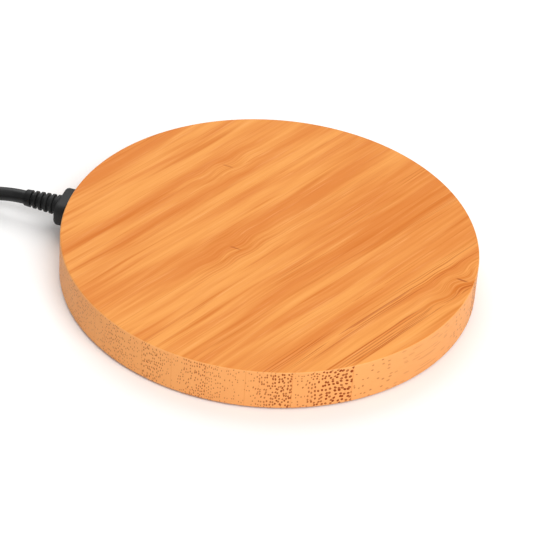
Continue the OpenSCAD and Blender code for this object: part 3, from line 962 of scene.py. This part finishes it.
def addBoardPart(name, node, slot, build, materials):
    bm = bmesh.new()
    for low, high in looseBoxes(node):
        build(bm, partsPlan, low, high)
    piece = addPiece(name, meshFrom(bm, name, 30), None, "pad", slot, node)
    for material in materials:
        piece.data.materials.append(material)


def leadedPackage(bm, plan, low, high):
    # epoxy body on a row of flat leads along each side, with a mark beside the first
    out = plan["leadOut"]
    ease = plan["leadEase"]
    across, into, thick = plan["leadSize"]
    bodyLow = low + Vector((out, out, thick / 2))
    bodyHigh = high - Vector((out, out, 0))
    block(bm, bodyLow, bodyHigh, plan["ease"])
    middle = (low + high) / 2
    count = int((high.x - low.x - 2 * out - across) / plan["leadPitch"])
    for index in range(count):
        along = (index - (count - 1) / 2) * plan["leadPitch"]
        for edge, inward in ((low.x, 1), (high.x, -1)):
            start = Vector((min(edge, edge + inward * into), middle.y + along - across / 2, low.z))
            block(bm, start, start + Vector((into, across, thick)), ease, 1, 1)
        for edge, inward in ((low.y, 1), (high.y, -1)):
            start = Vector((middle.x + along - across / 2, min(edge, edge + inward * into), low.z))
            block(bm, start, start + Vector((across, into, thick)), ease, 1, 1)
    mark = bodyLow + Vector((plan["markPlace"], plan["markPlace"], 0))
    mark.z = high.z - 0.1 * mm
    size = plan["markSize"]
    block(bm, mark, mark + Vector((size, size, 0.11 * mm)), 0.05 * mm, 2, 2)


def cappedCeramic(bm, plan, low, high):
    # fired body between two tinned end caps, lying along its longer side
    size = high - low
    axis = 0 if size.x > size.y else 1
    cap = size[axis] * plan["capShare"]
    proud = Vector([plan["capProud"]] * 3)
    proud[axis] = cap * 0.5
    block(bm, low + proud, high - proud, plan["ease"])
    nearHigh = Vector(high)
    nearHigh[axis] = low[axis] + cap
    farLow = Vector(low)
    farLow[axis] = high[axis] - cap
    block(bm, low, nearHigh, plan["ease"], 1)
    block(bm, farLow, high, plan["ease"], 1)


def pressedInductor(bm, plan, low, high):
    # pressed powder body with soft corners and two wrapped terminals
    skin, foot, tall = plan["terminalSize"]
    fromSide = plan["terminalFromSide"]
    ease = plan["metalEase"]
    bodyLow = low + Vector((skin / 2, 0, skin / 2))
    bodyHigh = high - Vector((skin / 2, 0, 0))
    block(bm, bodyLow, bodyHigh, plan["inductorEase"], 0, 4)
    for start, end in ((low.x + skin / 4, low.x + foot), (high.x - foot, high.x - skin / 4)):
        block(bm, Vector((start, low.y + fromSide * 1.05, low.z)),
              Vector((end, high.y - fromSide * 1.05, low.z + skin)), ease, 1)
    for start in (low.x, high.x - skin):
        block(bm, Vector((start, low.y + fromSide, low.z + skin / 4)),
              Vector((start + skin, high.y - fromSide, low.z + tall)), ease, 1)


def sideLamp(bm, plan, low, high):
    # white housing with tinned ends, its lens turned to the rim
    end = plan["lampEnd"]
    lens = plan["lampLens"]
    housingEase, lensEase, endEase = plan["lampEase"]
    inX, inZ = plan["lensFrom"]
    block(bm, low + Vector((end * 0.6, 0, 0)), high - Vector((end * 0.6, lens, 0)), housingEase)
    block(bm, Vector((low.x + inX, high.y - lens * 1.4, low.z + inZ)),
          Vector((high.x - inX, high.y, high.z - inZ)), lensEase, 1, 4)
    for start in (low.x, high.x - end):
        block(bm, Vector((start, low.y + 0.05 * mm, low.z)),
              Vector((start + end, high.y - lens * 1.2, high.z - 0.3 * mm)), endEase, 2)


def foamBlock(bm, plan, low, high):
    block(bm, low, high, plan["foamEase"], 0, 3)


package = (chipEpoxy, solderTin, nylonWhite)
inductor = (inductorIron, solderTin)
ceramic = (capacitorTan, solderTin)
resistor = (resistorBlack, solderTin)
lamp = (nylonWhite, ledResin, solderTin)
addBoardPart("controller_package", "controller_chip", "chip_black", leadedPackage, package)
addBoardPart("transistor_packages", "power_transistors", "chip_black", leadedPackage, package)
addBoardPart("inductor_block", "power_inductor", "inductor_grey", pressedInductor, inductor)
addBoardPart("resonance_ceramics", "resonance_capacitors", "capacitor_ceramic", cappedCeramic, ceramic)
addBoardPart("input_ceramics", "input_capacitors", "capacitor_ceramic", cappedCeramic, ceramic)
addBoardPart("resistor_ceramics", "chip_resistors", "resistor_black", cappedCeramic, resistor)
addBoardPart("side_lamp", "indicator_led", "led_resin", sideLamp, lamp)
addBoardPart("foam_blocks", "foam_pads", "foam_grey", foamBlock, (foamGrey,))
print("board parts made")


# wires between the winding and the board, and the sensor in the eye of the winding

wirePlan = {
    "bend": 1.1 * mm,
    "bendSteps": 8,
    "beadSegments": (28, 16),
    "legShare": 0.25,         # how far each leg stands from the middle, in bead diameters
    "legRadius": 0.15 * mm,
}


def makePigtails(plan):
    # each wire runs level from the winding, then turns down to the board
    boxes = looseBoxes("coil_leads")
    diameter = boxes[0][1].x - boxes[0][0].x
    radius = diameter / 2
    bend = plan["bend"]
    curve = newWire("coil_pigtails", diameter, 3)
    for low, high in boxes:
        x = (low.x + high.x) / 2
        level = high.z - radius
        corner = low.y + radius
        points = [Vector((x, high.y, level))]
        for step in range(plan["bendSteps"] + 1):
            angle = math.radians(90 * step / plan["bendSteps"])
            forward = bend * (1 - math.sin(angle))
            down = bend * (1 - math.cos(angle))
            points.append(Vector((x, corner + forward, level - down)))
        points.append(Vector((x, corner, low.z)))
        addRoute(curve, points)
    return curve


def makeSensor(plan):
    low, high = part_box("temperature_sensor")
    radius = (high.x - low.x) / 2
    middle = Vector(((low.x + high.x) / 2, (low.y + high.y) / 2, high.z - radius))
    columns, rows = plan["beadSegments"]
    bm = bmesh.new()
    bmesh.ops.create_uvsphere(bm, u_segments=columns, v_segments=rows, radius=radius,
                              matrix=Matrix.Translation(middle))
    bead = set(bm.faces)
    legHeight = middle.z - low.z
    for side in (-1, 1):
        place = middle + Vector((side * plan["legShare"] * radius * 2, 0, -legHeight / 2))
        bmesh.ops.create_cone(bm, cap_ends=True, segments=16, radius1=plan["legRadius"],
                              radius2=plan["legRadius"], depth=legHeight, matrix=Matrix.Translation(place))
    for face in bm.faces:
        if face not in bead:
            face.material_index = 1
    return meshFrom(bm, "sensor_bead", 50)


addPiece("coil_pigtails", makePigtails(wirePlan), copperWire, "pad", "copper_wire", "coil_leads")
sensorBead = addPiece("sensor_bead", makeSensor(wirePlan), beadBrown, "pad", "sensor_lacquer",
                      "temperature_sensor")
sensorBead.data.materials.append(solderTin)
print("wires made")


# finishes on the pieces that keep their CAD surface

finishes = {
    "bamboo_shell": bamboo, "base_plate": plateBlack, "rubber_feet": footRubber, "base_screws": screwZinc,
    "circuit_board": maskGreen, "board_screws": screwZinc,
    "ferrite_shield": ferriteGrey, "coil_tape": tapeWhite,
    "socket_shell": shellNickel, "socket_tongue": nylonBlack, "socket_contacts": contactGold,
    "solder_joints": solderTin, "light_guide": guideClear,
    "plug_shell": shellNickel, "plug_insulator": nylonBlack, "plug_contacts": contactGold,
    "supply_plug_shell": shellNickel, "supply_plug_tongue": nylonWhite, "supply_plug_contacts": contactGold,
}
for name, material in finishes.items():
    for materialSlot in nodes[name].material_slots:
        materialSlot.material = material
print("finishes given")


# floor and light

studioPlan = {
    "floor": (0.97, 0.97, 0.965),
    "worldStrength": 0.46,
    "key": {"place": (-0.55, -0.55, 0.85), "size": 0.9, "power": 9.4},
    "fill": {"place": (0.6, 0.35, 0.8), "size": 1.0, "power": 5.0},
}


def makeFloor(plan):
    bm = bmesh.new()
    bmesh.ops.create_grid(bm, x_segments=1, y_segments=1, size=4)
    mesh = bpy.data.meshes.new("floor")
    bm.to_mesh(mesh)
    bm.free()
    floor = bpy.data.objects.new("floor", mesh)
    material, tree, surface = newMaterial("paleFloor")
    surface.inputs["Base Color"].default_value = (*plan["floor"], 1)
    surface.inputs["Roughness"].default_value = 0.85
    surface.inputs["Specular IOR Level"].default_value = 0.1
    mesh.materials.append(material)
    bpy.context.scene.collection.objects.link(floor)


def makeLight(name, plan):
    data = bpy.data.lights.new(name, "AREA")
    data.shape = "DISK"
    data.size = plan["size"]
    data.energy = plan["power"]
    light = bpy.data.objects.new(name, data)
    light.location = plan["place"]
    light.rotation_mode = "QUATERNION"
    light.rotation_quaternion = (-light.location).to_track_quat("-Z", "Y")
    bpy.context.scene.collection.objects.link(light)


makeFloor(studioPlan)
makeLight("keyLight", studioPlan["key"])
makeLight("fillLight", studioPlan["fill"])
world = bpy.data.worlds.new("studio")
world.use_nodes = True
world.node_tree.nodes["Background"].inputs["Color"].default_value = (1, 1, 1, 1)
world.node_tree.nodes["Background"].inputs["Strength"].default_value = studioPlan["worldStrength"]
bpy.context.scene.world = world
bpy.context.scene.view_settings.view_transform = "Standard"
print("stage lit")
